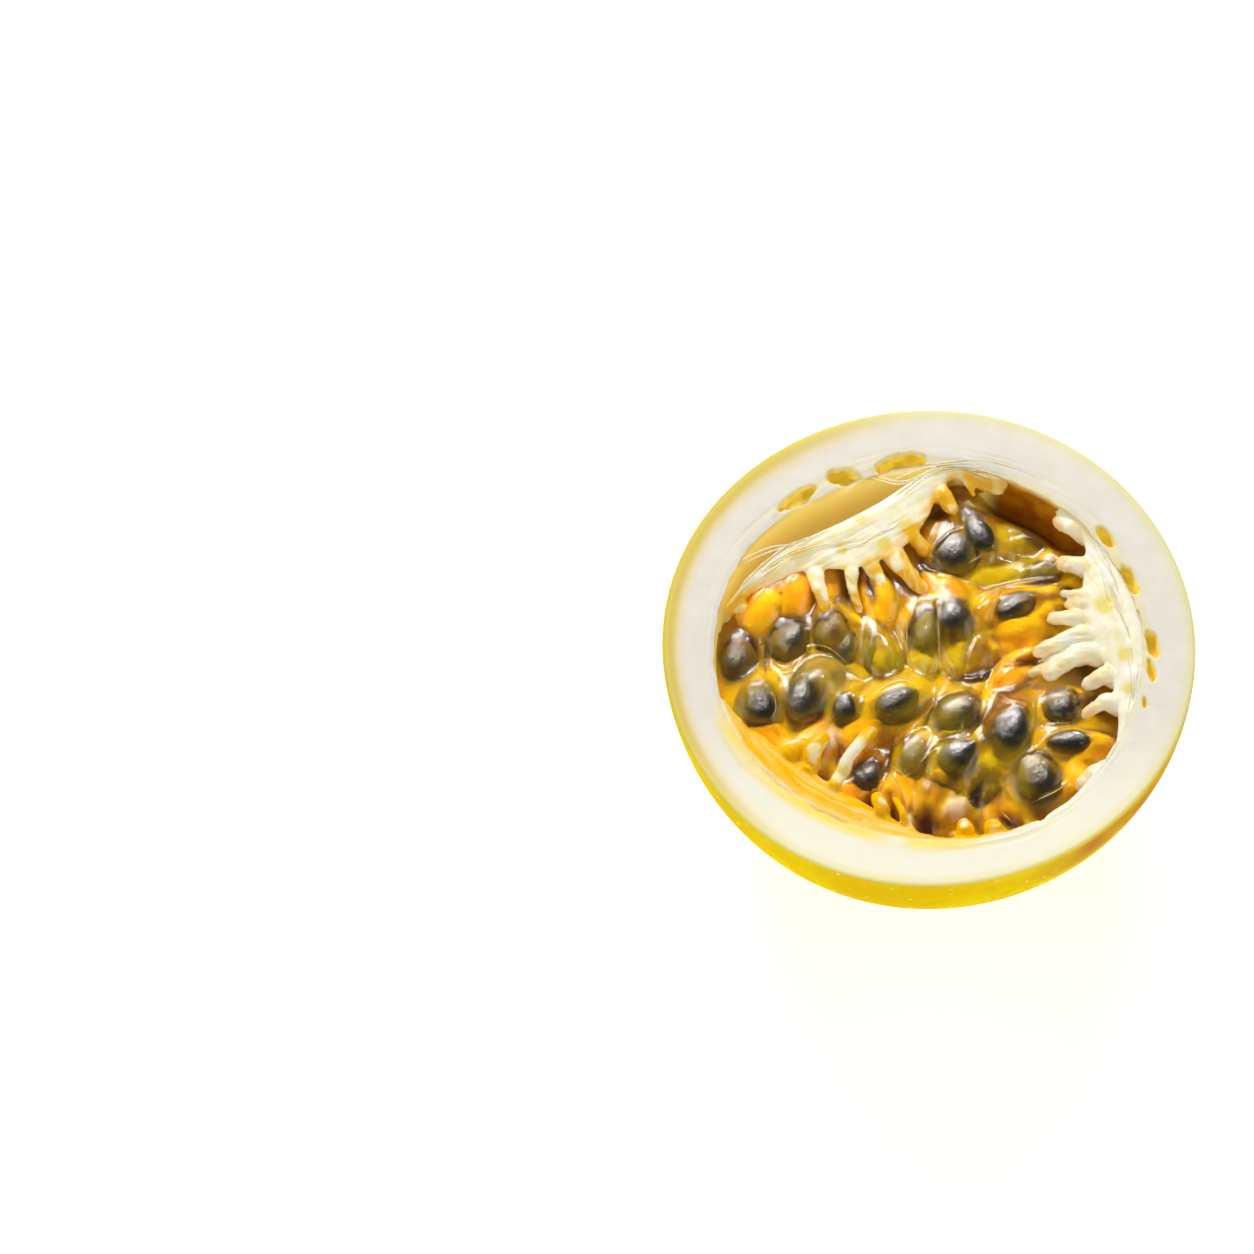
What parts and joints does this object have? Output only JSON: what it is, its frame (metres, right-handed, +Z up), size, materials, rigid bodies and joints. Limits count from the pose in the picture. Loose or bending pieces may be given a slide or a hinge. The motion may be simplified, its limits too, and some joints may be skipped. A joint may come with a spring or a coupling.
{
  "type": "passion fruit half",
  "caption": "Half of a yellow passion fruit lying on its back with the cut up: thick white rind cup with yellow skin, seed membranes with finger-like stalks, and juicy pulp with dark seeds.",
  "frame": {"origin": "centre of the small flat spot on the round back, at the bottom centre of the bounding box", "axes": "+Z up out of the cut face, X across the fruit to the right and Y across it away from the viewer"},
  "size_m": [0.0702, 0.0696, 0.0365],
  "materials": {
    "rind": "waxy yellow skin outside, matte white pith on the cut",
    "membrane": "moist cream fibres with yellow tips",
    "pulp": "wet orange and olive juice sacs with charcoal seeds"
  },
  "bodies": {
    "root": {"rind": "rind", "membrane_left": "membrane", "membrane_right": "membrane", "membrane_front": "membrane", "pulp": "pulp"}
  },
  "joints": []
}
